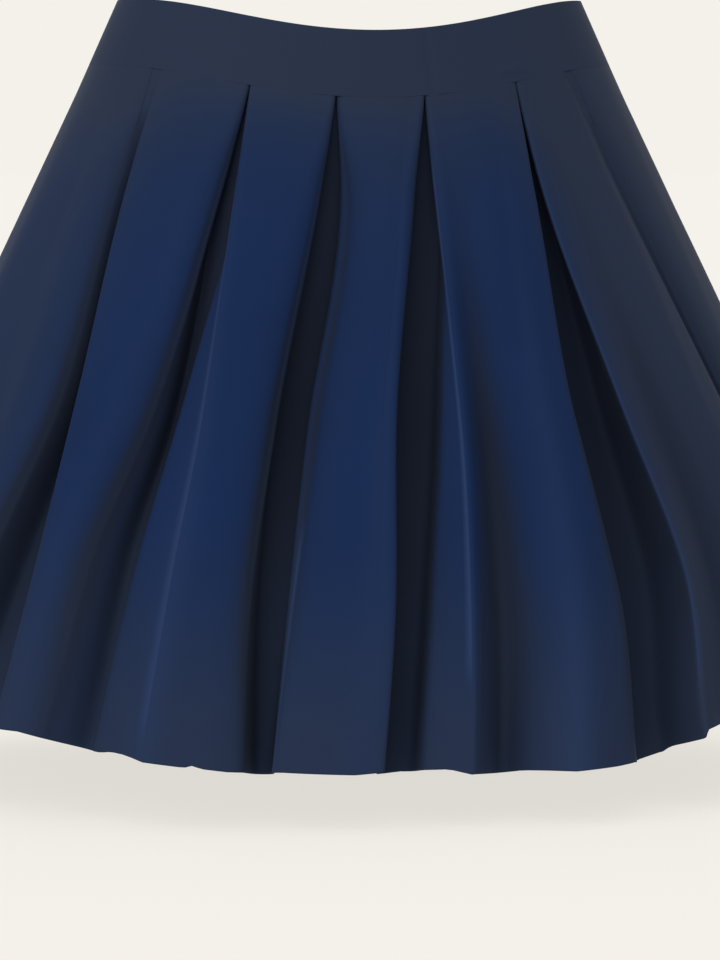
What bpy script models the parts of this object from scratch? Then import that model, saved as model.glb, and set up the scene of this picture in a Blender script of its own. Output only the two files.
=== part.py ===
"""A pleated skater skirt, filled out as it is worn, with nobody in it.

Metres, +Z up, the front towards -Y. The origin is the middle of the waist, level with
the top edge of the waistband at the side seams. Angles run round the skirt from the
centre front, positive towards +X. A level is 0 at the waistband seam and 1 at the hem.
"""

import math

import bpy
import numpy as np

MM = 0.001

# Waist and flare, from the fit of the photo's outline
WAIST_HALF_WIDTH = 135 * MM
WAIST_HALF_DEPTH = 100 * MM
BAND_HEIGHT = 37.5 * MM
BAND_FLARE_SIDE = 0.4476
BAND_FLARE_FRONT = 0.358
SKIRT_FLARE_SIDE = 0.4686
SKIRT_FLARE_FRONT = 0.3486
WAIST_DIP_FRONT = 19.3 * MM
WAIST_DIP_FRONT_POWER = 4
WAIST_DIP_BACK = 24 * MM
WAIST_DIP_BACK_POWER = 3
HEM_DROP = 423.8 * MM
HEM_RISE_SIDE = 36.1 * MM
HEM_RISE_POWER = 3
# How much lower the cloth hangs at the hem for each metre that it lies further in
FOLD_DROP = 0.16

# How far the hem falls below its even curve, in millimetres, at angles round the skirt
HEM_FALLS = (
    (-90, 0),
    (-46, 2),
    (-40, -0.5),
    (-33, 2),
    (-30.5, 1.4),
    (-29.2, 0),
    (-27.5, 0.4),
    (-25.6, 2.6),
    (-21.2, 2.2),
    (-20.3, 0.4),
    (-19.6, 1.8),
    (-17, 1.8),
    (-12, -0.5),
    (-5, -0.8),
    (0, -4),
    (4, -3.5),
    (6, 0),
    (12, 0),
    (16, 4),
    (21, 5),
    (24, 5),
    (27, 7),
    (31.2, 5),
    (32.4, -3.5),
    (40, -3.5),
    (60, 0),
    (90, 0),
    (126, 2),
    (140, -1),
    (160, 3),
    (172, -1),
    (186, 2),
    (205, -2),
    (225, 3),
    (240, 0),
    (270, 0),
)

# Cloth
BAND_WALL = 2.0 * MM
CLOTH_WALL = 1.2 * MM
SEAM_GAP = 0.3 * MM

# A box pleat: pressed flat under the waistband, opening out towards the hem
LAYER_STEP = 2.4 * MM
CLOSED_HALF_GAP = 1.0 * MM
# A pleat that is tucked in less than a pressed one starts wider and flatter
PRESSED_TUCK = 17
LOOSE_HALF_GAP = 2.2 * MM
LOOSE_LAYER_SHARE = 0.35
ROUNDED_BY_LEVEL = 0.15
LEAST_ROUNDED = 0.4
SOFT_DROP_SHARE = 0.45
OPENING_POWER = 1.5
PANEL_POWER = 1.4
WALL_TOP_SHARE = 0.12
WALL_MID_SHARE = 0.55
UNDER_LIP_LEAN = 0.1
TURN_TUCK_SHARE = 0.6
LEDGE_LEAN = 0.5
LEDGE_TUCK_SHARE = 0.95
LEDGE_DEPTH_SHARE = 0.3

# Levels of the sections, and the levels that the columns of the pleat table stand for
ROW_LEVELS = (0, 0.05, 0.12, 0.21, 0.32, 0.43, 0.55, 0.67, 0.78, 0.89, 1)
TABLE_LEVELS = (0, 0.15, 0.5, 0.75, 1)
SOFT_LEVELS = (0, 0.5, 1)

# One row a pleat: where it starts at the seam in degrees, how far it is tucked in there in
# millimetres, and its two lips at 15, 50, 75 and 100 % of the length, in degrees. Then, in
# millimetres, its depth at the hem, the roundness of each lip near the seam, halfway and at
# the hem, and how far each side runs under its panel at the hem. Less than zero slopes
# inwards. Last, how far the right side's slope is a ledge that then drops, from 0 to 1.
PLEAT_COLUMNS = (
    "seam closed l15 l50 l75 l100 r15 r50 r75 r100 "
    "depth upper_l mid_l soft_l upper_r mid_r soft_r tuck_l tuck_r ledge_r"
).split()
FRONT_PLEATS = (
    (-51, -1.5, -52.6, -49.4, -52.5, -54, -49.2, -45.4, -44.1, -43.4, 30, 8, 13, 12, 3, 2.5, 3, -9, -4, 0),
    (-26.5, 17, -28.6, -33, -37.3, -37.8, -25.9, -25.2, -25.8, -25.9, 26, 8, 14, 12, 2.5, 2, 2, -22, -32, 1),
    (-8.3, 17, -10.6, -15.2, -16.4, -15.6, -7, -11, -12.2, -12.8, 28, 7, 13, 5, 16, 22, 2.5, -3, -1, 0),
    (9.8, 17, 5.9, 0.5, -0.5, -2.3, 9.5, 9, 7.7, 5.8, 36, 7, 3, 3, 5, 2.5, 2.5, 1, -25, 1),
    (31.4, 17, 29.2, 25.8, 26, 23.5, 31, 34, 36.1, 31.8, 40, 2.5, 3, 14, 2, 2, 3, -22, -2, 0),
    (48.8, -1.5, 52.2, 59.2, 61.8, 63, 53.7, 60.8, 64.2, 66.2, 9, 10, 12, 12, 8, 10, 7, 0, 0, 0),
)
BACK_PLEATS = (
    (130, 17, 128.8, 126.3, 125.2, 125.5, 131.2, 133, 133.4, 132.6, 28, 5, 6, 6, 5, 7, 8, -5, -12, 0.5),
    (151, 17, 149.2, 146, 145, 145.5, 152, 154.5, 155.8, 155, 32, 3, 3, 3, 4, 8, 10, 0, -16, 1),
    (171, 17, 169.2, 166.4, 165.6, 166, 172, 174.6, 175.2, 174.2, 30, 3, 4, 4, 3, 3, 3, -4, -3, 0),
    (189.5, 17, 187, 184.4, 184, 185, 190.6, 193, 193.6, 192.6, 34, 4, 9, 9, 3, 3, 3, -14, 0, 0),
    (210, 17, 208.2, 205, 204, 204.5, 211, 214, 215, 214, 32, 3, 3, 3, 4, 9, 5, -2, -8, 0.6),
    (230.5, 17, 229.4, 226.8, 226.4, 227, 231.8, 234.8, 235.6, 235, 28, 5, 9, 10, 4, 4, 4, -12, -4, 0),
)

# One row for each panel after a pleat, and first the one before the first pleat: three
# folds, each with its place across the panel near the seam and at the hem, and how far
# the cloth stands out there at the hem, in millimetres
PANEL_COLUMNS = "upper_1 place_1 out_1 upper_2 place_2 out_2 upper_3 place_3 out_3".split()
FRONT_PANELS = (
    (0.35, 0.35, 6, 0.72, 0.76, -13, 0.86, 0.88, -6.5),
    (0.35, 0.35, 4, 0.7, 0.66, 4, 0.85, 0.83, 2),
    (0.35, 0.35, 3, 0.7, 0.7, 4, 0.85, 0.85, 2),
    (0.35, 0.3, 4, 0.7, 0.7, 5, 0.85, 0.85, 2.5),
    (0.16, 0.3, -36, 0.38, 0.5, -3, 0.7, 0.7, 9),
    (0.36, 0.34, -27, 0.7, 0.7, 6, 0.85, 0.85, 3),
    (0.35, 0.35, 4, 0.7, 0.7, 3, 0.85, 0.85, 1.5),
)
BACK_PANELS = (
    (0.35, 0.35, 4, 0.7, 0.7, -8, 0.85, 0.85, -4),
    (0.35, 0.35, 5, 0.7, 0.7, 4, 0.85, 0.85, 2),
    (0.3, 0.3, 4, 0.68, 0.68, 5, 0.84, 0.84, 2.5),
    (0.35, 0.35, 5, 0.7, 0.7, 5, 0.85, 0.85, 2.5),
    (0.26, 0.34, -14, 0.68, 0.68, 7, 0.84, 0.84, 3.5),
    (0.35, 0.35, 5, 0.7, 0.7, 4, 0.85, 0.85, 2),
    (0.35, 0.35, -7, 0.72, 0.72, 5, 0.86, 0.86, 2.5),
)

# The side seams, as angles
FRONT_SPAN = (-90, 90)
BACK_SPAN = (90, 270)

BAND_COLUMNS = 28
BAND_ROWS = 4

NAVY = (0.014, 0.026, 0.085, 1)
BAND_NAVY = (0.022, 0.031, 0.068, 1)
SKIRT_ROUGHNESS = 0.6
BAND_ROUGHNESS = 0.55


def smooth_through(levels, values, level):
    """A smooth curve through the values, which doesn't overshoot them."""
    x = np.array(levels, float)
    y = np.array(values, float)
    slope = np.diff(y) / np.diff(x)
    bend = np.zeros(len(y))
    bend[0] = slope[0]
    bend[-1] = slope[-1]
    for i in range(1, len(y) - 1):
        if slope[i - 1] * slope[i] > 0:
            bend[i] = 2 * slope[i - 1] * slope[i] / (slope[i - 1] + slope[i])
    i = min(int(np.searchsorted(x, level, side="right")) - 1, len(y) - 2)
    step = x[i + 1] - x[i]
    u = (level - x[i]) / step
    start = (1 + 2 * u) * (1 - u) ** 2 * y[i] + u * (1 - u) ** 2 * step * bend[i]
    end = u * u * (3 - 2 * u) * y[i + 1] + u * u * (u - 1) * step * bend[i + 1]
    return start + end


def top_edge(angle):
    """Height of the waistband's top edge."""
    facing = math.cos(angle)
    if facing > 0:
        return -WAIST_DIP_FRONT * facing**WAIST_DIP_FRONT_POWER
    return -WAIST_DIP_BACK * (-facing) ** WAIST_DIP_BACK_POWER


def seam_edge(angle):
    """Height of the seam between the waistband and the skirt."""
    return top_edge(angle) - BAND_HEIGHT


def hem_edge(angle):
    """Height of the hem."""
    side = 1 - abs(math.cos(angle)) ** HEM_RISE_POWER
    fall = np.interp(math.degrees(angle), *zip(*HEM_FALLS))
    return -HEM_DROP + HEM_RISE_SIDE * side - fall * MM


def half_sizes(height):
    """Half the width and half the depth of the smooth form at a height."""
    band = min(-height, BAND_HEIGHT)
    below = max(-height - BAND_HEIGHT, 0)
    half_width = WAIST_HALF_WIDTH + BAND_FLARE_SIDE * band + SKIRT_FLARE_SIDE * below
    half_depth = WAIST_HALF_DEPTH + BAND_FLARE_FRONT * band + SKIRT_FLARE_FRONT * below
    return half_width, half_depth


def skirt_height(angle, level):
    """Height of the cloth at an angle and a level."""
    top = seam_edge(angle) - SEAM_GAP
    return top + level * (hem_edge(angle) - top)


def on_form(angle, height, out):
    """The point at an angle and height, moved outwards from the smooth form."""
    half_width, half_depth = half_sizes(height)
    normal = np.array([half_depth * math.sin(angle), -half_width * math.cos(angle)])
    normal /= np.linalg.norm(normal)
    x = half_width * math.sin(angle) + out * normal[0]
    y = -half_depth * math.cos(angle) + out * normal[1]
    return np.array([x, y, height])


def skirt_point(angle, level, out):
    """The point of the skirt's cloth at an angle and a level, moved outwards."""
    point = on_form(angle, skirt_height(angle, level), out)
    point[2] += FOLD_DROP * level * out
    return point


def metres_a_radian(angle, level):
    """How far one radian reaches along the smooth form."""
    half_width, half_depth = half_sizes(skirt_height(angle, level))
    return math.hypot(half_width * math.cos(angle), half_depth * math.sin(angle))


def opened(level):
    """How far a pleat has opened at a level, from 0 to 1."""
    return 1 - (1 - level) ** OPENING_POWER


def blend(closed, hem, amount):
    return closed + (hem - closed) * amount


def pleat_section(row, level):
    """The control points across one pleat, as pairs of angle and distance outwards."""
    pleat = dict(zip(PLEAT_COLUMNS, row))
    amount = opened(level)
    seam = math.radians(pleat["seam"])
    reach = metres_a_radian(seam, level)
    loose = 1 - pleat["closed"] / PRESSED_TUCK
    gap = (CLOSED_HALF_GAP + loose * LOOSE_HALF_GAP) / reach
    lips = []
    for side, name in ((-1, "l"), (1, "r")):
        start = math.degrees(seam + side * gap)
        rest = [pleat[name + column] for column in ("15", "50", "75", "100")]
        lips.append(math.radians(smooth_through(TABLE_LEVELS, (start, *rest), level)))
    layer = LAYER_STEP * blend(1, LOOSE_LAYER_SHARE, loose)
    depth = blend(2 * layer, pleat["depth"] * MM, amount)
    feet = []
    halves = []
    for lip, side, name in ((lips[0], -1, "l"), (lips[1], 1, "r")):
        bends = [pleat[column + name] for column in ("upper_", "mid_", "soft_")]
        soft = smooth_through(SOFT_LEVELS, bends, level) * MM
        soft *= blend(LEAST_ROUNDED, 1, min(level / ROUNDED_BY_LEVEL, 1))
        drop = SOFT_DROP_SHARE * soft
        tuck = blend(pleat["closed"], pleat["tuck_" + name], amount) * MM
        under = blend(layer, max(WALL_TOP_SHARE * depth, LAYER_STEP), amount)
        ledge = pleat["ledge_r"] if name == "r" else 0
        turn_share = blend(WALL_MID_SHARE, LEDGE_DEPTH_SHARE, ledge)
        turn = blend(layer, turn_share * depth, amount)
        turn_tuck = blend(1, blend(TURN_TUCK_SHARE, LEDGE_TUCK_SHARE, ledge), amount) * tuck
        foot = lip + side * tuck / reach
        lean = blend(UNDER_LIP_LEAN, LEDGE_LEAN, ledge) * min(tuck, 0)
        halves.append(
            [
                (lip + side * soft / reach, 0),
                (lip, -drop),
                (lip + side * lean / reach, -drop - under),
                (lip + side * turn_tuck / reach, -drop - turn),
                (foot, -drop - depth),
            ]
        )
        feet.append((foot, -drop - depth))
    middle = (
        0.5 * (feet[0][0] + feet[1][0]),
        0.5 * (feet[0][1] + feet[1][1]),
    )
    return [*halves[0], middle, *reversed(halves[1])]


def panel_section(row, start, end, level):
    """The control points across one panel, between two angles."""
    panel = dict(zip(PANEL_COLUMNS, row))
    points = []
    for name in ("1", "2", "3"):
        place = blend(panel["upper_" + name], panel["place_" + name], level)
        angle = blend(start, end, place)
        points.append((angle, panel["out_" + name] * MM * level**PANEL_POWER))
    return points


def skirt_section(pleats, panels, span, level):
    """The control points across the front or the back at a level."""
    seams = [math.radians(edge) for edge in span]
    seams[0] += 0.5 * SEAM_GAP / metres_a_radian(seams[0], level)
    seams[1] -= 0.5 * SEAM_GAP / metres_a_radian(seams[1], level)
    section = [(seams[0], 0)]
    for pleat, panel in zip(pleats, panels):
        points = pleat_section(pleat, level)
        section += panel_section(panel, section[-1][0], points[0][0], level)
        section += points
    section += panel_section(panels[-1], section[-1][0], seams[1], level)
    section.append((seams[1], 0))
    return section


def wall_of(line, thickness, end_normals):
    """The outer and the inner line of a wall of that thickness, seen from above."""
    line = np.array(line)
    along = np.diff(line[:, :2], axis=0)
    along /= np.linalg.norm(along, axis=1)[:, None]
    across = np.stack([along[:, 1], -along[:, 0]], axis=1)
    before = np.vstack([across[:1], across])
    after = np.vstack([across, across[-1:]])
    mitre = before + after
    mitre /= (mitre * before).sum(axis=1)[:, None]
    mitre[0] = end_normals[0]
    mitre[-1] = end_normals[1]
    push = np.zeros_like(line)
    push[:, :2] = 0.5 * thickness * mitre
    return line + push, line - push


def end_normal(angle):
    """The outward direction on the form at a side seam, seen from above."""
    return np.array([math.copysign(1, math.sin(angle)), 0])


def make_piece(name, outer, inner, colour, roughness):
    """One closed wall from its outer and inner rows of points, the top row first."""
    rows, columns = len(outer), len(outer[0])
    points = [tuple(point) for row in outer for point in row]
    points += [tuple(point) for row in inner for point in row]
    inside = rows * columns
    faces = []
    for r in range(rows - 1):
        for c in range(columns - 1):
            a = r * columns + c
            b = a + columns
            faces.append((a, b, b + 1, a + 1))
            faces.append((inside + a, inside + a + 1, inside + b + 1, inside + b))
    last = (rows - 1) * columns
    for c in range(columns - 1):
        faces.append((c, c + 1, inside + c + 1, inside + c))
        low = last + c
        faces.append((low, inside + low, inside + low + 1, low + 1))
    for r in range(rows - 1):
        left = r * columns
        below = left + columns
        faces.append((left, inside + left, inside + below, below))
        right = left + columns - 1
        below = right + columns
        faces.append((right, below, inside + below, inside + right))
    mesh = bpy.data.meshes.new(name)
    mesh.from_pydata(points, [], faces)
    mesh.update()
    material = bpy.data.materials.new(name)
    material.use_nodes = True
    shader = material.node_tree.nodes["Principled BSDF"]
    shader.inputs["Base Color"].default_value = colour
    shader.inputs["Roughness"].default_value = roughness
    mesh.materials.append(material)
    piece = bpy.data.objects.new(name, mesh)
    bpy.context.collection.objects.link(piece)
    return piece


def make_skirt(name, pleats, panels, span):
    """The front or the back of the skirt, with its pleats."""
    ends = [end_normal(math.radians(edge)) for edge in span]
    outer = []
    inner = []
    for level in ROW_LEVELS:
        section = skirt_section(pleats, panels, span, level)
        line = [skirt_point(t, level, out) for t, out in section]
        outside, inside = wall_of(line, CLOTH_WALL, ends)
        outer.append(outside)
        inner.append(inside)
    return make_piece(name, outer, inner, NAVY, SKIRT_ROUGHNESS)


def make_band(name, span):
    """The front or the back of the waistband."""
    ends = [end_normal(math.radians(edge)) for edge in span]
    outer = []
    inner = []
    for r in range(BAND_ROWS + 1):
        drop = BAND_HEIGHT * r / BAND_ROWS
        half_width, half_depth = half_sizes(-drop)
        shift = 0.5 * SEAM_GAP / half_depth
        first = math.radians(span[0]) + shift
        last = math.radians(span[1]) - shift
        line = []
        for c in range(BAND_COLUMNS + 1):
            angle = blend(first, last, c / BAND_COLUMNS)
            line.append(on_form(angle, top_edge(angle) - drop, 0))
        outside, inside = wall_of(line, BAND_WALL, ends)
        outer.append(outside)
        inner.append(inside)
    return make_piece(name, outer, inner, BAND_NAVY, BAND_ROUGHNESS)


for old in list(bpy.data.objects):
    bpy.data.objects.remove(old)

make_band("waistband_front", FRONT_SPAN)
make_band("waistband_back", BACK_SPAN)
make_skirt("skirt_front", FRONT_PLEATS, FRONT_PANELS, FRONT_SPAN)
make_skirt("skirt_back", BACK_PLEATS, BACK_PANELS, BACK_SPAN)
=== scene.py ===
"""The looks of a pleated skater skirt: its cloth as fine sheets on the solids' own form, its
finish, a pale floor, soft light and the camera.

Metres, +Z up, the front towards -Y, the origin in the middle of the waist. Angles run round
the skirt from the centre front, positive towards +X. A level is 0 at the waistband seam and
1 at the hem.
"""

import math

import bpy
import numpy as np
from mathutils import Matrix, Vector


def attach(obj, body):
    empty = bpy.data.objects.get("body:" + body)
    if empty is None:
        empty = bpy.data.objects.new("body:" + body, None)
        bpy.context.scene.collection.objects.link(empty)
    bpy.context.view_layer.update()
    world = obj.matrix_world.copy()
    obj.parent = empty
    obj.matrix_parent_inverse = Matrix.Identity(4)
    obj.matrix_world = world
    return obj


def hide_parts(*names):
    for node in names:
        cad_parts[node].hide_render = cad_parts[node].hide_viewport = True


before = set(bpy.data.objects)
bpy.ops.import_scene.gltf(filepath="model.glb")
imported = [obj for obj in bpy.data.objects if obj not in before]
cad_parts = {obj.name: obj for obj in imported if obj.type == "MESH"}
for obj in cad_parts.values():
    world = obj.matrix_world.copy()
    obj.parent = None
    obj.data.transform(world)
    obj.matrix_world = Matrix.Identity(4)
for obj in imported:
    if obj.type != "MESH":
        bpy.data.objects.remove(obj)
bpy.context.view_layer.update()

MM = 0.001

# Waist and flare, as in the solids
WAIST_HALF_WIDTH = 135 * MM
WAIST_HALF_DEPTH = 100 * MM
BAND_HEIGHT = 37.5 * MM
BAND_FLARE_SIDE = 0.4476
BAND_FLARE_FRONT = 0.358
SKIRT_FLARE_SIDE = 0.4686
SKIRT_FLARE_FRONT = 0.3486
WAIST_DIP_FRONT = 19.3 * MM
WAIST_DIP_FRONT_POWER = 4
WAIST_DIP_BACK = 24 * MM
WAIST_DIP_BACK_POWER = 3
HEM_DROP = 423.8 * MM
HEM_RISE_SIDE = 36.1 * MM
HEM_RISE_POWER = 3
# How much lower the cloth hangs at the hem for each metre that it lies further in
FOLD_DROP = 0.16

# How far the hem falls below its even curve, in millimetres, at angles round the skirt
HEM_FALLS = (
    (-90, 0),
    (-46, 2),
    (-40, -0.5),
    (-33, 2),
    (-30.5, 1.4),
    (-29.2, 0),
    (-27.5, 0.4),
    (-25.6, 2.6),
    (-21.2, 2.2),
    (-20.3, 0.4),
    (-19.6, 1.8),
    (-17, 1.8),
    (-12, -0.5),
    (-5, -0.8),
    (0, -4),
    (4, -3.5),
    (6, 0),
    (12, 0),
    (16, 4),
    (21, 5),
    (24, 5),
    (27, 7),
    (31.2, 5),
    (32.4, -3.5),
    (40, -3.5),
    (60, 0),
    (90, 0),
    (126, 2),
    (140, -1),
    (160, 3),
    (172, -1),
    (186, 2),
    (205, -2),
    (225, 3),
    (240, 0),
    (270, 0),
)

# Cloth, as in the solids
BAND_WALL = 2.0 * MM
CLOTH_WALL = 1.2 * MM
SEAM_GAP = 0.3 * MM

# A box pleat, as in the solids but closer, flatter and crisper at the seam
LAYER_STEP = 2.4 * MM
CLOSED_HALF_GAP = 0.65 * MM
# A pleat that is tucked in less than a pressed one starts wider and flatter
PRESSED_TUCK = 17
LOOSE_HALF_GAP = 2.2 * MM
LOOSE_LAYER_SHARE = 0.12
ROUNDED_BY_LEVEL = 0.15
LEAST_ROUNDED = 0.2
SOFT_DROP_SHARE = 0.45
OPENING_POWER = 1.5
PANEL_POWER = 1.4
WALL_TOP_SHARE = 0.12
WALL_MID_SHARE = 0.55
UNDER_LIP_LEAN = 0.1
TURN_TUCK_SHARE = 0.6
LEDGE_LEAN = 0.5
LEDGE_TUCK_SHARE = 0.95
LEDGE_DEPTH_SHARE = 0.3

TABLE_LEVELS = (0, 0.15, 0.5, 0.75, 1)
SOFT_LEVELS = (0, 0.5, 1)

# One row a pleat: where it starts at the seam in degrees, how far it is tucked in there in
# millimetres, and its two lips at 15, 50, 75 and 100 % of the length, in degrees. Then, in
# millimetres, its depth at the hem, the roundness of each lip near the seam, halfway and at
# the hem, and how far each side runs under its panel at the hem. Less than zero slopes
# inwards. Last, how far the right side's slope is a ledge that then drops, from 0 to 1.
PLEAT_COLUMNS = (
    "seam closed l15 l50 l75 l100 r15 r50 r75 r100 "
    "depth upper_l mid_l soft_l upper_r mid_r soft_r tuck_l tuck_r ledge_r"
).split()
FRONT_PLEATS = (
    (-51, -1.5, -52.6, -49.4, -52.5, -54, -49.2, -45.4, -44.1, -43.4, 30, 8, 13, 12, 3, 2.5, 3, -9, -4, 0),
    (-26.5, 17, -28.6, -33, -37.3, -37.8, -25.9, -25.2, -25.8, -25.9, 26, 8, 14, 12, 2.5, 2, 2, -22, -32, 1),
    (-8.3, 17, -10.6, -15.2, -16.4, -15.6, -7, -11, -12.2, -12.8, 28, 7, 13, 5, 16, 22, 2.5, -3, -1, 0),
    (9.8, 17, 5.9, 0.5, -0.5, -2.3, 9.5, 9, 7.7, 5.8, 36, 7, 3, 3, 5, 2.5, 2.5, 1, -25, 1),
    (31.4, 17, 29.2, 25.8, 26, 23.5, 31, 34, 36.1, 31.8, 40, 2.5, 3, 14, 2, 2, 3, -22, -2, 0),
    (48.8, -1.5, 52.2, 59.2, 61.8, 63, 53.7, 60.8, 64.2, 66.2, 9, 10, 12, 12, 8, 10, 7, 0, 0, 0),
)
BACK_PLEATS = (
    (130, 17, 128.8, 126.3, 125.2, 125.5, 131.2, 133, 133.4, 132.6, 28, 5, 6, 6, 5, 7, 8, -5, -12, 0.5),
    (151, 17, 149.2, 146, 145, 145.5, 152, 154.5, 155.8, 155, 32, 3, 3, 3, 4, 8, 10, 0, -16, 1),
    (171, 17, 169.2, 166.4, 165.6, 166, 172, 174.6, 175.2, 174.2, 30, 3, 4, 4, 3, 3, 3, -4, -3, 0),
    (189.5, 17, 187, 184.4, 184, 185, 190.6, 193, 193.6, 192.6, 34, 4, 9, 9, 3, 3, 3, -14, 0, 0),
    (210, 17, 208.2, 205, 204, 204.5, 211, 214, 215, 214, 32, 3, 3, 3, 4, 9, 5, -2, -8, 0.6),
    (230.5, 17, 229.4, 226.8, 226.4, 227, 231.8, 234.8, 235.6, 235, 28, 5, 9, 10, 4, 4, 4, -12, -4, 0),
)

# One row for each panel after a pleat, and first the one before the first pleat: three
# folds, each with its place across the panel near the seam and at the hem, and how far
# the cloth stands out there at the hem, in millimetres
PANEL_COLUMNS = "upper_1 place_1 out_1 upper_2 place_2 out_2 upper_3 place_3 out_3".split()
FRONT_PANELS = (
    (0.35, 0.35, 6, 0.72, 0.76, -13, 0.86, 0.88, -6.5),
    (0.35, 0.35, 4, 0.7, 0.66, 4, 0.85, 0.83, 2),
    (0.35, 0.35, 3, 0.7, 0.7, 4, 0.85, 0.85, 2),
    (0.35, 0.3, 4, 0.7, 0.7, 5, 0.85, 0.85, 2.5),
    (0.16, 0.3, -36, 0.38, 0.5, -3, 0.7, 0.7, 9),
    (0.36, 0.34, -27, 0.7, 0.7, 6, 0.85, 0.85, 3),
    (0.35, 0.35, 4, 0.7, 0.7, 3, 0.85, 0.85, 1.5),
)
BACK_PANELS = (
    (0.35, 0.35, 4, 0.7, 0.7, -8, 0.85, 0.85, -4),
    (0.35, 0.35, 5, 0.7, 0.7, 4, 0.85, 0.85, 2),
    (0.3, 0.3, 4, 0.68, 0.68, 5, 0.84, 0.84, 2.5),
    (0.35, 0.35, 5, 0.7, 0.7, 5, 0.85, 0.85, 2.5),
    (0.26, 0.34, -14, 0.68, 0.68, 7, 0.84, 0.84, 3.5),
    (0.35, 0.35, 5, 0.7, 0.7, 4, 0.85, 0.85, 2),
    (0.35, 0.35, -7, 0.72, 0.72, 5, 0.86, 0.86, 2.5),
)

# The side seams, as angles
FRONT_SPAN = (-90, 90)
BACK_SPAN = (90, 270)

# Fine mesh: columns between neighbouring control points, then rows
PANEL_STEPS = 5
SHOULDER_STEPS = 5
LIP_STEPS = 3
WALL_STEPS = 4
FLOOR_STEPS = 3
SKIRT_ROWS = 84
SAMPLE_STEP = 0.35 * MM

# How far each bend is rounded: in a pressed or a loose pleat at the seam, on the panels, at
# the lips, under them, on the floor of a pleat, and at the side seams
CLOSED_ROUND = 0.5 * MM
LOOSE_ROUND = 3.5 * MM
PANEL_ROUND = 6 * MM
SHARP_LIP_ROUND = 0.9 * MM
LIP_ROUND_SHARE = 0.45
UNDER_ROUND = 2.5 * MM
FLOOR_ROUND = 5 * MM
SEAM_ROUND = 0.1 * MM
END_ROUND_SHARE = 0.4

# The order of the control points: the seam, three on the panel, then the first pleat
FIRST_PLEAT_POINT = 4
POINTS_A_PLEAT = 14
LEFT_LIP = 1
RIGHT_LIP = 9
RIGHT_SHOULDER = 10
VALLEY = 11
RIDGE = 13

# The least distance between two columns that counts for how open a fold lies
LEAST_APART = 0.2 * MM

# The band's mesh, and how close to an end a sheet has one more row for a crisp edge
BAND_COLUMNS = 260
BAND_ROWS = 30
EDGE_STEP = 0.002

# The sheets meet at the side seams, which are soft grooves, with more columns close by
SIDE_LAP = 0.02 * MM
SIDE_GROOVE = 0.5 * MM
SIDE_GROOVE_WIDTH = 1.3 * MM
SIDE_PLACES = (0.01, 0.03, 0.07, 0.12)

# The skirt's top edge lies under the band and is flush with it outside. Each row of points
# there has its height above the seam and its shift outwards, in millimetres, and the share
# of the pleats' depth that is left, as the seam holds their layers together.
UNDER_BAND = ((1.8, -0.9, 0.5), (0.3, -0.8, 0.55), (0.15, 0, 1))
FLUSH_TO_LEVEL = 0.05

# Painted highlights along the pleats' pressed edges: one row a pleat, with how strongly the
# left and the right lip get them, and between which levels
SHINE_COLUMNS = ("left", "right", "top", "bottom")
FRONT_PAINTED_SHINE = (
    (0, 0.6, 0.22, 0.95),
    (0, 0.7, 0.10, 1.00),
    (0, 0.8, 0.62, 1.10),
    (0, 1.0, 0.06, 0.90),
    (0, 0.75, 0.03, 0.97),
    (0, 0.2, 0.05, 0.60),
)
BACK_PAINTED_SHINE = (
    (0, 0.5, 0.10, 0.80),
    (0, 0.4, 0.20, 0.90),
    (0, 0.9, 0.08, 0.95),
    (0, 0.9, 0.10, 0.90),
    (0.3, 0.5, 0.15, 0.85),
    (0, 0.7, 0.10, 1.00),
)
SHINE_WIDTH = 0.6 * MM
SHINE_FADE = 0.08

# Soft painted stripes down the cloth, painted shade in the folds and painted highlights on the
# ridges: the pleat, the control point counted from its first, how strong and how wide in millimetres at the
# hem
STRIPE_COLUMNS = ("pleat", "point", "strength", "width")
FRONT_PAINTED_HIGHLIGHTS = (
    (0, RIDGE, 0.15, 14),
    (1, RIGHT_SHOULDER, 0.3, 9),
    (2, RIDGE, 0.3, 12),
    (3, RIDGE, 0.4, 13),
)
BACK_PAINTED_HIGHLIGHTS = (
    (1, RIDGE, 0.2, 12),
    (3, RIDGE, 0.2, 12),
)
FRONT_PAINTED_SHADES = (
    (0, LEFT_LIP, 0.45, 9),
    (1, LEFT_LIP, 0.45, 10),
    (2, LEFT_LIP, 0.45, 9),
    (2, RIGHT_LIP, 0.2, 5),
    (3, VALLEY, 0.28, 13),
    (4, LEFT_LIP, 0.2, 6),
    (4, VALLEY, 0.15, 12),
    (5, LEFT_LIP, 0.2, 8),
)
BACK_PAINTED_SHADES = (
    (0, LEFT_LIP, 0.25, 7),
    (1, LEFT_LIP, 0.3, 8),
    (2, LEFT_LIP, 0.2, 6),
    (3, LEFT_LIP, 0.3, 8),
    (4, RIGHT_LIP, 0.2, 6),
    (5, LEFT_LIP, 0.3, 7),
)
# The share of its width that a stripe has at least, where the pleats are still closed
LEAST_GROWN = 0.002

# Where the cloth is coloured greyer: near the seam, near the hem, and on the sides as painted sheen.
# A side has the degrees from the middle where that starts and is full, and how strong it is.
GREY_TOP_LEVEL = 0.10
GREY_TOP_WAVE = 0.3
GREY_TOP_WAVES = 7
GREY_TOP_START = 0.8
GREY_HEM_LEVEL = 0.62
GREY_HEM = 0.75
PAINTED_SHEEN_RIGHT = (20, 44, 1.0)
PAINTED_SHEEN_LEFT = (38, 64, 0.6)
# The painted fold shade is weaker near the hem, where light comes in, and where the folds start at the seam
HEM_OPEN_LEVEL = 0.78
HEM_OPEN = 0.3
SEAM_OPEN_LEVEL = 0.1
SEAM_OPEN = 0.5

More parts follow.
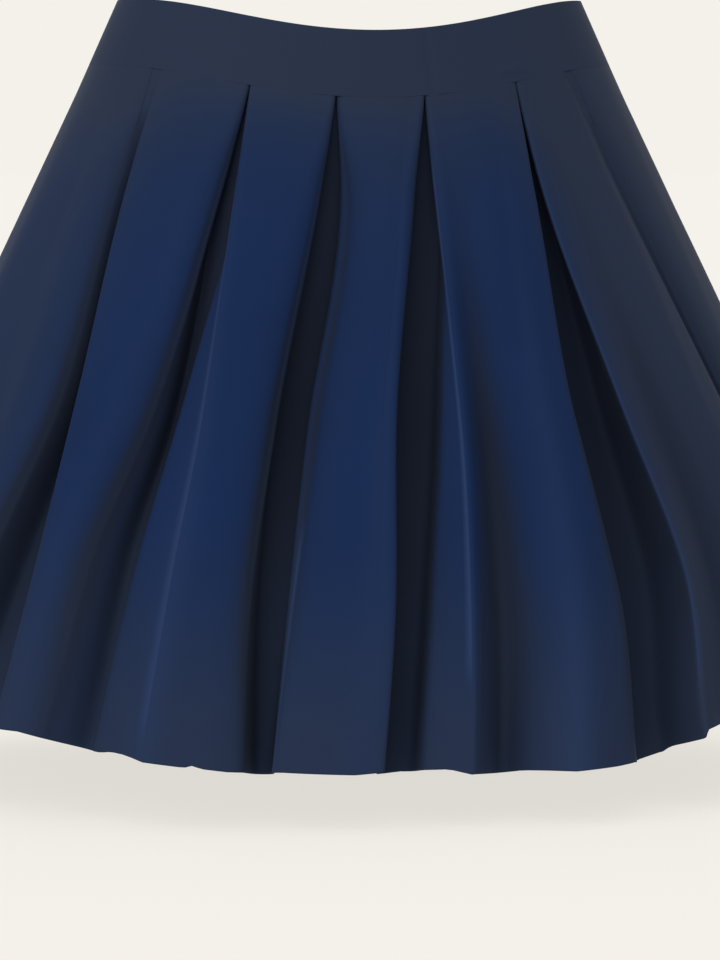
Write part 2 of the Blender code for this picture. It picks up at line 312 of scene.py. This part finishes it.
# Soft creases down the band: angle, half width in degrees, depth in millimetres
CREASE_COLUMNS = ("angle", "width", "depth")
BAND_CREASES = (
    (-90, 0.8, -0.5),
    (90, 0.8, -0.5),
    (270, 0.8, -0.5),
    (11.6, 0.8, -0.5),
    (13.5, 2.5, 0.25),
    (-21, 4, -0.2),
    (46, 2, -0.3),
    (171, 1.5, -0.4),
    (205, 3, -0.25),
    (140, 3, 0.2),
)
# Small puckers at the foot of the band over the pleats: angle, distance below the top edge,
# half width, half height and lift, in millimetres
PUCKER_COLUMNS = ("angle", "drop", "wide", "high", "lift")
BAND_PUCKERS = (
    (30.6, 31, 7, 2.5, 0.8),
    (-26, 33, 6, 3, 0.3),
    (-7.5, 34, 5, 3, 0.3),
    (151, 32, 7, 3, 0.5),
    (189, 33, 6, 3, 0.4),
)

# Soft uneven troughs and ridges over the whole cloth: waves round the skirt, how they lean
# with the level, where they start, and their height at the hem in millimetres
RIPPLE_COLUMNS = ("waves", "lean", "start", "height")
RIPPLES = (
    (23, 2.1, 0.4, 0.7),
    (37, -1.3, 2.2, 0.45),
    (61, 3.7, 4.1, 0.22),
    (11, 1.1, 5.3, 0.9),
)
RIPPLE_POWER = 0.8

# Cloth colours: the dye, where it is greyer with painted sheen, painted shade in deep folds and in folds low
# down, painted highlights on edges
NAVY = (0.0052, 0.0145, 0.0510)
GREY_AND_SHEEN_NAVY = (0.0138, 0.0205, 0.0405)
PAINTED_FOLD_SHADE_NAVY = (0.0078, 0.0108, 0.0210)
PAINTED_LOW_FOLD_SHADE_NAVY = (0.0108, 0.0160, 0.0315)
PAINTED_HIGHLIGHT_NAVY = (0.0140, 0.0270, 0.0750)
# Openness where the painted fold shade is darkest and where it starts
FOLD_DARK = 0.35
FOLD_LIT = 1.0
# Heights between which the painted fold shade grows paler downwards, where the floor's light comes in
FOLD_PALER_FROM = -0.24
FOLD_PALER_TO = -0.36
# Soft clouds in the dye: how much paler and deeper they are, their scale and their detail
DYE_UNEVEN = 0.1
DYE_SCALE = 14
DYE_DETAIL = 3

# How the cloth takes the light, and its fine uneven surface
SKIRT_ROUGHNESS = 0.6
BAND_ROUGHNESS = 0.65
SHEEN = 0.012
SHEEN_ROUGHNESS = 0.4
SHEEN_TINT = (0.8, 0.88, 1, 1)
SPECULAR = 0.01
WEAVE_SCALE = 1400
WEAVE_DETAIL = 2
WEAVE_STRENGTH = 0.12
WEAVE_DEPTH = 0.15 * MM

# Camera, from the fit to the photo
CAMERA_AZIMUTH = -7.5
CAMERA_ELEVATION = 4.0
CAMERA_DISTANCE = 2.8
CAMERA_ASIDE = 5.9 * MM
CAMERA_HEIGHT = -280.4 * MM
PIXELS_PER_METRE = 1698
PHOTO_HEIGHT_PX = 960
SENSOR_MM = 36

# Stage: a pale floor close under the hem, the backdrop's colour and soft lights. The
# azimuth of a light counts from the camera's, in degrees, positive to the right.
FLOOR_BELOW_HEM = 30 * MM
FLOOR_HALF = 60
FLOOR_ALBEDO = 0.12
BACKDROP = (0.905, 0.88, 0.823)
SUN_COLOUR = (1, 0.98, 0.94)
SUN_COLUMNS = ("name", "azimuth", "elevation", "strength", "spread")
SUNS = (
    ("key", -25, 32, 2.9, 80),
    ("back", 170, 22, 2.0, 120),
)


def smooth_through(levels, values, level):
    """A smooth curve through the values, which doesn't overshoot them."""
    x = np.array(levels, float)
    y = np.array(values, float)
    slope = np.diff(y) / np.diff(x)
    bend = np.zeros(len(y))
    bend[0] = slope[0]
    bend[-1] = slope[-1]
    for i in range(1, len(y) - 1):
        if slope[i - 1] * slope[i] > 0:
            bend[i] = 2 * slope[i - 1] * slope[i] / (slope[i - 1] + slope[i])
    i = min(int(np.searchsorted(x, level, side="right")) - 1, len(y) - 2)
    step = x[i + 1] - x[i]
    u = (level - x[i]) / step
    start = (1 + 2 * u) * (1 - u) ** 2 * y[i] + u * (1 - u) ** 2 * step * bend[i]
    end = u * u * (3 - 2 * u) * y[i + 1] + u * u * (u - 1) * step * bend[i + 1]
    return start + end


def top_edge(angle):
    """Height of the waistband's top edge."""
    facing = np.cos(angle)
    front = WAIST_DIP_FRONT * np.abs(facing) ** WAIST_DIP_FRONT_POWER
    back = WAIST_DIP_BACK * np.abs(facing) ** WAIST_DIP_BACK_POWER
    return -np.where(facing > 0, front, back)


def hem_edge(angle):
    """Height of the hem."""
    side = 1 - np.abs(np.cos(angle)) ** HEM_RISE_POWER
    fall = np.interp(np.degrees(angle), *zip(*HEM_FALLS))
    return -HEM_DROP + HEM_RISE_SIDE * side - fall * MM


def half_sizes(height):
    """Half the width and half the depth of the smooth form at a height."""
    band = np.minimum(-height, BAND_HEIGHT)
    below = np.maximum(-height - BAND_HEIGHT, 0)
    half_width = WAIST_HALF_WIDTH + BAND_FLARE_SIDE * band + SKIRT_FLARE_SIDE * below
    half_depth = WAIST_HALF_DEPTH + BAND_FLARE_FRONT * band + SKIRT_FLARE_FRONT * below
    return half_width, half_depth


def skirt_height(angle, level):
    """Height of the cloth at an angle and a level."""
    top = top_edge(angle) - BAND_HEIGHT - SEAM_GAP
    return top + level * (hem_edge(angle) - top)


def on_form(angle, height, out):
    """The points at angles and heights, moved outwards from the smooth form."""
    half_width, half_depth = half_sizes(height)
    across = half_depth * np.sin(angle)
    along = -half_width * np.cos(angle)
    length = np.hypot(across, along)
    x = half_width * np.sin(angle) + out * across / length
    y = -half_depth * np.cos(angle) + out * along / length
    return np.stack([x, y, height + 0 * angle], axis=-1)


def metres_a_radian(angle, level):
    """How far one radian reaches along the smooth form."""
    half_width, half_depth = half_sizes(skirt_height(angle, level))
    return np.hypot(half_width * np.cos(angle), half_depth * np.sin(angle))


def opened(level):
    """How far a pleat has opened at a level, from 0 to 1."""
    return 1 - (1 - level) ** OPENING_POWER


def blend(closed, hem, amount):
    """A value between its closed and its hem one."""
    return closed + (hem - closed) * amount


def pleat_section(row, level):
    """The control points across one pleat: angle, distance outwards and rounding."""
    pleat = dict(zip(PLEAT_COLUMNS, row))
    amount = opened(level)
    seam = math.radians(pleat["seam"])
    reach = float(metres_a_radian(seam, level))
    loose = 1 - pleat["closed"] / PRESSED_TUCK
    gap = (CLOSED_HALF_GAP + loose * LOOSE_HALF_GAP) / reach
    closed_round = blend(CLOSED_ROUND, LOOSE_ROUND, loose)
    lips = []
    for side, name in ((-1, "l"), (1, "r")):
        start = math.degrees(seam + side * gap)
        rest = [pleat[name + column] for column in ("15", "50", "75", "100")]
        lips.append(math.radians(smooth_through(TABLE_LEVELS, (start, *rest), level)))
    layer = LAYER_STEP * blend(1, LOOSE_LAYER_SHARE, loose)
    depth = blend(2 * layer, pleat["depth"] * MM, amount)
    feet = []
    halves = []
    for lip, side, name in ((lips[0], -1, "l"), (lips[1], 1, "r")):
        bends = [pleat[column + name] for column in ("upper_", "mid_", "soft_")]
        soft = smooth_through(SOFT_LEVELS, bends, level) * MM
        soft *= blend(LEAST_ROUNDED, 1, min(level / ROUNDED_BY_LEVEL, 1))
        drop = SOFT_DROP_SHARE * soft
        tuck = blend(pleat["closed"], pleat["tuck_" + name], amount) * MM
        under = blend(layer, max(WALL_TOP_SHARE * depth, LAYER_STEP), amount)
        ledge = pleat["ledge_r"] if name == "r" else 0
        turn_share = blend(WALL_MID_SHARE, LEDGE_DEPTH_SHARE, ledge)
        turn = blend(layer, turn_share * depth, amount)
        turn_tuck = blend(1, blend(TURN_TUCK_SHARE, LEDGE_TUCK_SHARE, ledge), amount) * tuck
        foot = lip + side * tuck / reach
        lean = blend(UNDER_LIP_LEAN, LEDGE_LEAN, ledge) * min(tuck, 0)
        lip_round = max(SHARP_LIP_ROUND, LIP_ROUND_SHARE * soft)
        turn_round = blend(FLOOR_ROUND, UNDER_ROUND, ledge)
        halves.append(
            [
                (lip + side * soft / reach, 0, lip_round),
                (lip, -drop, lip_round),
                (
                    lip + side * lean / reach,
                    -drop - under,
                    blend(closed_round, UNDER_ROUND, amount),
                ),
                (
                    lip + side * turn_tuck / reach,
                    -drop - turn,
                    blend(closed_round, turn_round, amount),
                ),
                (foot, -drop - depth, blend(closed_round, FLOOR_ROUND, amount)),
            ]
        )
        feet.append((foot, -drop - depth))
    middle = (
        0.5 * (feet[0][0] + feet[1][0]),
        0.5 * (feet[0][1] + feet[1][1]),
        blend(closed_round, FLOOR_ROUND, amount),
    )
    return [*halves[0], middle, *reversed(halves[1])]


def panel_section(row, start, end, level):
    """The control points across one panel, between two angles."""
    panel = dict(zip(PANEL_COLUMNS, row))
    points = []
    for name in ("1", "2", "3"):
        place = blend(panel["upper_" + name], panel["place_" + name], level)
        angle = blend(start, end, place)
        points.append((angle, panel["out_" + name] * MM * level**PANEL_POWER, PANEL_ROUND))
    return points


def skirt_section(pleats, panels, span, level):
    """The control points across the front or the back at a level."""
    seams = [math.radians(edge) for edge in span]
    seams[0] -= SIDE_LAP / float(metres_a_radian(seams[0], level))
    seams[1] += SIDE_LAP / float(metres_a_radian(seams[1], level))
    section = [(seams[0], 0, SEAM_ROUND)]
    for pleat, panel in zip(pleats, panels):
        points = pleat_section(pleat, level)
        section += panel_section(panel, section[-1][0], points[0][0], level)
        section += points
    section += panel_section(panels[-1], section[-1][0], seams[1], level)
    section.append((seams[1], 0, SEAM_ROUND))
    return np.array(section, float)


def column_places(pleat_count):
    """Where the mesh's columns lie, counted in control points along the section."""
    half = [SHOULDER_STEPS, LIP_STEPS, WALL_STEPS, WALL_STEPS, FLOOR_STEPS]
    steps = [PANEL_STEPS] * 4
    for _ in range(pleat_count):
        steps += half + half[::-1] + [PANEL_STEPS] * 4
    places = [i + k / count for i, count in enumerate(steps) for k in range(count)]
    near_ends = [*SIDE_PLACES, *(len(steps) - place for place in SIDE_PLACES)]
    return np.array(sorted([*places, *near_ends, len(steps)]))


def rounded_section(section, level, places):
    """The section with its bends rounded, as each column's angle, distance outwards and way
    along the section, and each control point's way along it."""
    angle, out, rounding = section.T
    reach = metres_a_radian(angle, level)
    steps = np.hypot(np.diff(angle) * 0.5 * (reach[1:] + reach[:-1]), np.diff(out))
    distance = np.concatenate([[0], np.cumsum(steps)])
    count = int(distance[-1] / SAMPLE_STEP)
    sample = np.linspace(0, distance[-1], count)
    sample_angle = np.interp(sample, distance, angle)
    sample_out = np.interp(sample, distance, out)
    index = np.arange(len(angle))
    here = np.interp(places, index, distance)
    spread = np.interp(places, index, rounding)
    from_end = np.minimum(here, distance[-1] - here)
    spread = np.minimum(spread, END_ROUND_SHARE * from_end + SEAM_ROUND)
    weight = np.exp(-0.5 * ((sample[None] - here[:, None]) / spread[:, None]) ** 2)
    weight /= weight.sum(axis=1)[:, None]
    return weight @ sample_angle, weight @ sample_out, here, distance


def smooth_step(value, start, end):
    """0 before the start, 1 after the end and smooth between."""
    share = np.clip((value - start) / (end - start), 0, 1)
    return share * share * (3 - 2 * share)


def painted_lip_shine(rows, here, distance, level):
    """How strongly each column gets a painted highlight along a pressed edge, from 0 to 1."""
    painted_shine = 0 * here
    for k, row in enumerate(rows):
        lip = dict(zip(SHINE_COLUMNS, row))
        shown = smooth_step(level, lip["top"], lip["top"] + SHINE_FADE)
        shown *= 1 - smooth_step(level, lip["bottom"] - SHINE_FADE, lip["bottom"])
        first = FIRST_PLEAT_POINT + k * POINTS_A_PLEAT
        for point, side in ((first + LEFT_LIP, "left"), (first + RIGHT_LIP, "right")):
            apart = (here - distance[point]) / SHINE_WIDTH
            painted_shine += lip[side] * shown * np.exp(-apart * apart)
    return painted_shine


def painted_stripes(rows, here, distance, level):
    """How strongly the soft painted stripes, shade in one table and highlights in another, show at each
    column, from 0 to 1.
    """
    shown = 0 * here
    grown = opened(level)
    for row in rows:
        stripe = dict(zip(STRIPE_COLUMNS, row))
        point = FIRST_PLEAT_POINT + stripe["pleat"] * POINTS_A_PLEAT + stripe["point"]
        apart = (here - distance[point]) / (stripe["width"] * MM * max(grown, LEAST_GROWN))
        shown += stripe["strength"] * grown * np.exp(-apart * apart)
    return shown


def greyness_and_painted_sheen(angle, level):
    """How much greyer the cloth is coloured, with painted sheen on the sides, from 0 to 1."""
    uneven = 1 + GREY_TOP_WAVE * np.sin(GREY_TOP_WAVES * angle + GREY_TOP_START)
    top = np.exp(-level / (GREY_TOP_LEVEL * uneven))
    hem = GREY_HEM * smooth_step(level, GREY_HEM_LEVEL, 1)
    turned = 90 - np.abs(np.degrees(angle) % 180 - 90)
    right = PAINTED_SHEEN_RIGHT[2] * smooth_step(turned, *PAINTED_SHEEN_RIGHT[:2])
    left = PAINTED_SHEEN_LEFT[2] * smooth_step(turned, *PAINTED_SHEEN_LEFT[:2])
    side = np.where(np.sin(angle) > 0, right, left)
    return np.clip(np.maximum(top, hem) + side, 0, 1)


def ripple(angle, level):
    """How far the soft ripples lift the cloth."""
    lift = 0 * angle
    for row in RIPPLES:
        wave = dict(zip(RIPPLE_COLUMNS, row))
        phase = wave["waves"] * angle + wave["lean"] * level + wave["start"]
        lift = lift + wave["height"] * MM * np.sin(phase)
    return lift * level**RIPPLE_POWER


def openness(angle, out, level):
    """How open each column of a section lies to the light: 1 on a panel, 0 deep in a fold."""
    reach = metres_a_radian(angle, level)
    along = np.concatenate([[0], np.cumsum(np.diff(angle) * 0.5 * (reach[1:] + reach[:-1]))])
    apart = np.abs(along[None] - along[:, None]) + LEAST_APART
    rise = np.arctan2(out[None] - out[:, None], apart)
    left = np.where(along[None] < along[:, None], rise, 0).max(axis=1)
    right = np.where(along[None] > along[:, None], rise, 0).max(axis=1)
    return np.clip(1 - (left + right) / np.pi, 0, 1)


def add_object(name, points, faces):
    """A smooth-shaded mesh object in the scene."""
    mesh = bpy.data.meshes.new(name)
    mesh.from_pydata([tuple(point) for point in points], [], faces)
    mesh.update()
    mesh.shade_smooth()
    piece = bpy.data.objects.new(name, mesh)
    bpy.context.scene.collection.objects.link(piece)
    return piece


def add_sheet(name, rows, shades, thickness, material):
    """A cloth sheet through rows of points, the top row first, given its thickness."""
    columns = len(rows[0])
    faces = []
    for r in range(len(rows) - 1):
        for c in range(columns - 1):
            a = r * columns + c
            faces.append((a, a + columns, a + columns + 1, a + 1))
    piece = add_object(name, np.concatenate(rows), faces)
    piece.data.materials.append(material)
    for shade, shade_rows in shades.items():
        values = piece.data.attributes.new(shade, "FLOAT", "POINT")
        values.data.foreach_set("value", np.concatenate(shade_rows))
    wall = piece.modifiers.new("wall", "SOLIDIFY")
    wall.thickness = thickness
    wall.offset = 0
    return piece


def edged(count):
    """Even steps from 0 to 1, with one more close to each end for crisp edges."""
    even = np.linspace(0, 1, count + 1)
    return [0, EDGE_STEP, *even[1:-1], 1 - EDGE_STEP, 1]


def make_skirt(name, node, pleats, panels, painted_shine, lights, painted_shades, span, material):
    """The front or the back of the skirt, with its pleats."""
    places = column_places(len(pleats))
    flush = 0.5 * (BAND_WALL - CLOTH_WALL)
    rows = []
    # Painted shade by openness, painted highlights, and greyer colour with painted sheen
    shades = {"openness": [], "painted_shine": [], "grey_and_painted_sheen": []}
    levels = edged(SKIRT_ROWS)
    for r, level in enumerate(levels):
        section = skirt_section(pleats, panels, span, level)
        angle, out, here, distance = rounded_section(section, level, places)
        # Painted shade: cloth that lies less open and the dark stripes take the darker fold colour
        open_row = openness(angle, out, level) - painted_stripes(painted_shades, here, distance, level)
        open_row = open_row + HEM_OPEN * smooth_step(level, HEM_OPEN_LEVEL, 1)
        open_row = open_row + SEAM_OPEN * (1 - smooth_step(level, 0, SEAM_OPEN_LEVEL))
        out = out + ripple(angle, level) + flush * max(1 - level / FLUSH_TO_LEVEL, 0)
        from_side = np.minimum(here, distance[-1] - here) / SIDE_GROOVE_WIDTH
        out = out - SIDE_GROOVE * np.exp(-from_side * from_side)
        points = on_form(angle, skirt_height(angle, level), out)
        points[:, 2] += FOLD_DROP * level * out
        if r == 0:
            for lift, push, left in UNDER_BAND:
                under = on_form(angle, skirt_height(angle, 0), left * out + push * MM)
                under[:, 2] += lift * MM
                rows.append(under)
        copies = 1 + len(UNDER_BAND) if r == 0 else 1
        rows.append(points)
        shades["openness"] += [open_row] * copies
        # Painted highlights on the lips and soft painted highlights on the ridges
        shine_row = painted_lip_shine(painted_shine, here, distance, level)
        shine_row = shine_row + painted_stripes(lights, here, distance, level)
        shades["painted_shine"] += [shine_row] * copies
        shades["grey_and_painted_sheen"] += [greyness_and_painted_sheen(angle, level)] * copies
    piece = add_sheet(name, rows, shades, CLOTH_WALL, material)
    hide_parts(node)
    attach(piece, "root")
    return piece


def band_lift(angle, drop):
    """How far creases and puckers lift the band at angles and a distance below its edge."""
    lift = 0 * angle
    degrees = np.degrees(angle)
    for row in BAND_CREASES:
        crease = dict(zip(CREASE_COLUMNS, row))
        apart = (degrees - crease["angle"]) / crease["width"]
        lift = lift + crease["depth"] * MM * np.exp(-apart * apart)
    for row in BAND_PUCKERS:
        pucker = dict(zip(PUCKER_COLUMNS, row))
        wide = np.degrees(pucker["wide"] * MM / (0.5 * (WAIST_HALF_WIDTH + WAIST_HALF_DEPTH)))
        aside = (degrees - pucker["angle"]) / wide
        above = (drop / MM - pucker["drop"]) / pucker["high"]
        lift = lift + pucker["lift"] * MM * np.exp(-aside * aside - above * above)
    return lift


def make_band(name, node, span, material):
    """The front or the back of the waistband."""
    rows = []
    shades = {"openness": [], "painted_shine": [], "grey_and_painted_sheen": []}
    for share in edged(BAND_ROWS):
        drop = (BAND_HEIGHT + SEAM_GAP) * share
        half_width, half_depth = half_sizes(-drop)
        lap = SIDE_LAP / half_depth
        first = math.radians(span[0]) - lap
        last = math.radians(span[1]) + lap
        angle = np.linspace(first, last, BAND_COLUMNS + 1)
        rows.append(on_form(angle, top_edge(angle) - drop, band_lift(angle, drop)))
        shades["openness"].append(1 + 0 * angle)
        shades["painted_shine"].append(0 * angle)
        shades["grey_and_painted_sheen"].append(1 + 0 * angle)
    piece = add_sheet(name, rows, shades, BAND_WALL, material)
    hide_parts(node)
    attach(piece, "root")
    return piece


def mixed(material, factor, first, second):
    """A mix of two colours, or of colour sockets, by a factor socket."""
    mix = material.node_tree.nodes.new("ShaderNodeMix")
    mix.data_type = "RGBA"
    for name, value in (("A", first), ("B", second)):
        if isinstance(value, tuple):
            mix.inputs[name].default_value = (*value, 1)
        else:
            material.node_tree.links.new(value, mix.inputs[name])
    material.node_tree.links.new(factor, mix.inputs["Factor"])
    return mix.outputs["Result"]


def cloth_material(name, roughness):
    """Smooth navy cloth: uneven dye, greyer in places with painted sheen on the sides, painted shade in the
    folds, painted highlights on edges and ridges.
    """
    material = bpy.data.materials.new(name)
    material.use_nodes = True
    nodes = material.node_tree.nodes
    links = material.node_tree.links
    shader = nodes["Principled BSDF"]
    shader.inputs["Roughness"].default_value = roughness
    shader.inputs["Sheen Weight"].default_value = SHEEN
    shader.inputs["Sheen Roughness"].default_value = SHEEN_ROUGHNESS
    shader.inputs["Sheen Tint"].default_value = SHEEN_TINT
    shader.inputs["Specular IOR Level"].default_value = SPECULAR
    place = nodes.new("ShaderNodeTexCoord")
    cloud = nodes.new("ShaderNodeTexNoise")
    cloud.inputs["Scale"].default_value = DYE_SCALE
    cloud.inputs["Detail"].default_value = DYE_DETAIL
    links.new(place.outputs["Object"], cloud.inputs["Vector"])
    paler = tuple((1 + DYE_UNEVEN) * c for c in NAVY)
    deeper = tuple((1 - DYE_UNEVEN) * c for c in NAVY)
    shades = {}
    for shade in ("openness", "painted_shine", "grey_and_painted_sheen"):
        read = nodes.new("ShaderNodeAttribute")
        read.attribute_name = shade
        shades[shade] = read.outputs["Fac"]
    depth = nodes.new("ShaderNodeMapRange")
    depth.interpolation_type = "SMOOTHSTEP"
    depth.inputs["From Min"].default_value = FOLD_DARK
    depth.inputs["From Max"].default_value = FOLD_LIT
    links.new(shades["openness"], depth.inputs["Value"])
    base_colour = mixed(material, cloud.outputs["Fac"], deeper, paler)
    # Greyer colour, on the sides as painted sheen
    base_colour = mixed(material, shades["grey_and_painted_sheen"], base_colour, GREY_AND_SHEEN_NAVY)
    height = nodes.new("ShaderNodeSeparateXYZ")
    links.new(place.outputs["Object"], height.inputs["Vector"])
    low = nodes.new("ShaderNodeMapRange")
    low.inputs["From Min"].default_value = FOLD_PALER_FROM
    low.inputs["From Max"].default_value = FOLD_PALER_TO
    links.new(height.outputs["Z"], low.inputs["Value"])
    # Painted shade in the folds, paler low down, then painted highlights on edges and ridges
    painted_fold_shade = mixed(material, low.outputs["Result"], PAINTED_FOLD_SHADE_NAVY, PAINTED_LOW_FOLD_SHADE_NAVY)
    base_colour = mixed(material, depth.outputs["Result"], painted_fold_shade, base_colour)
    base_colour = mixed(material, shades["painted_shine"], base_colour, PAINTED_HIGHLIGHT_NAVY)
    links.new(base_colour, shader.inputs["Base Color"])
    weave = nodes.new("ShaderNodeTexNoise")
    weave.inputs["Scale"].default_value = WEAVE_SCALE
    weave.inputs["Detail"].default_value = WEAVE_DETAIL
    links.new(place.outputs["Object"], weave.inputs["Vector"])
    bump = nodes.new("ShaderNodeBump")
    bump.inputs["Strength"].default_value = WEAVE_STRENGTH
    bump.inputs["Distance"].default_value = WEAVE_DEPTH
    links.new(weave.outputs["Fac"], bump.inputs["Height"])
    links.new(bump.outputs["Normal"], shader.inputs["Normal"])
    return material


def add_floor():
    """A wide pale floor, lit a little from within so that shadows on it stay faint."""
    low = -HEM_DROP - FLOOR_BELOW_HEM
    corners = [(x, y, low) for x, y in ((-1, -1), (1, -1), (1, 1), (-1, 1))]
    points = [(FLOOR_HALF * x, FLOOR_HALF * y, z) for x, y, z in corners]
    floor = add_object("floor", points, [(0, 1, 2, 3)])
    material = bpy.data.materials.new("floor")
    material.use_nodes = True
    shader = material.node_tree.nodes["Principled BSDF"]
    shader.inputs["Base Color"].default_value = (*[FLOOR_ALBEDO] * 3, 1)
    shader.inputs["Roughness"].default_value = 1
    shader.inputs["Specular IOR Level"].default_value = 0
    sun = 0
    for row in SUNS:
        lamp = dict(zip(SUN_COLUMNS, row))
        sun += lamp["strength"] * math.sin(math.radians(lamp["elevation"])) / math.pi
    glow = []
    for backdrop, tint in zip(BACKDROP, SUN_COLOUR):
        glow.append((1 - FLOOR_ALBEDO) * backdrop - FLOOR_ALBEDO * sun * tint)
    shader.inputs["Emission Color"].default_value = (*glow, 1)
    shader.inputs["Emission Strength"].default_value = 1
    floor.data.materials.append(material)


def add_sun(name, azimuth, elevation, strength, spread):
    """A wide soft light from one direction, with the azimuth counted from the camera's."""
    sun = bpy.data.lights.new(name, "SUN")
    sun.energy = strength
    sun.angle = math.radians(spread)
    sun.color = SUN_COLOUR
    lamp = bpy.data.objects.new(name, sun)
    turn = math.radians(azimuth + CAMERA_AZIMUTH)
    lift = math.radians(elevation)
    from_here = Vector(
        (math.sin(turn) * math.cos(lift), -math.cos(turn) * math.cos(lift), math.sin(lift))
    )
    lamp.rotation_euler = from_here.to_track_quat("Z", "Y").to_euler()
    bpy.context.scene.collection.objects.link(lamp)


def add_lights():
    """The suns, and the backdrop's own even light."""
    for row in SUNS:
        add_sun(**dict(zip(SUN_COLUMNS, row)))
    world = bpy.data.worlds.new("studio")
    world.use_nodes = True
    light = world.node_tree.nodes["Background"]
    light.inputs["Color"].default_value = (*BACKDROP, 1)
    light.inputs["Strength"].default_value = 1
    bpy.context.scene.world = world


def add_camera():
    """The camera at the photo's viewing angle, with the photo's framing."""
    azimuth = math.radians(CAMERA_AZIMUTH)
    elevation = math.radians(CAMERA_ELEVATION)
    back = Vector(
        (
            math.sin(azimuth) * math.cos(elevation),
            -math.cos(azimuth) * math.cos(elevation),
            math.sin(elevation),
        )
    )
    right = Vector((math.cos(azimuth), math.sin(azimuth), 0))
    up = back.cross(right)
    target = CAMERA_ASIDE * right + Vector((0, 0, CAMERA_HEIGHT))
    lens = bpy.data.cameras.new("camera")
    lens.sensor_width = SENSOR_MM
    lens.lens = PIXELS_PER_METRE * CAMERA_DISTANCE / PHOTO_HEIGHT_PX * SENSOR_MM
    camera = bpy.data.objects.new("camera", lens)
    turn = Matrix((right, up, back)).transposed().to_4x4()
    camera.matrix_world = Matrix.Translation(target + CAMERA_DISTANCE * back) @ turn
    bpy.context.scene.collection.objects.link(camera)
    bpy.context.scene.camera = camera


skirt_cloth = cloth_material("skirt_cloth", SKIRT_ROUGHNESS)
band_cloth = cloth_material("band_cloth", BAND_ROUGHNESS)
front_form = (FRONT_PLEATS, FRONT_PANELS, FRONT_PAINTED_SHINE, FRONT_PAINTED_HIGHLIGHTS, FRONT_PAINTED_SHADES, FRONT_SPAN)
back_form = (BACK_PLEATS, BACK_PANELS, BACK_PAINTED_SHINE, BACK_PAINTED_HIGHLIGHTS, BACK_PAINTED_SHADES, BACK_SPAN)
front = make_skirt("skirt_cloth_front", "skirt_front", *front_form, skirt_cloth)
back = make_skirt("skirt_cloth_back", "skirt_back", *back_form, skirt_cloth)
band_front = make_band("band_cloth_front", "waistband_front", FRONT_SPAN, band_cloth)
band_back = make_band("band_cloth_back", "waistband_back", BACK_SPAN, band_cloth)

add_floor()
add_lights()
add_camera()
bpy.context.scene.view_settings.view_transform = "Standard"
bpy.context.scene.view_settings.look = "None"
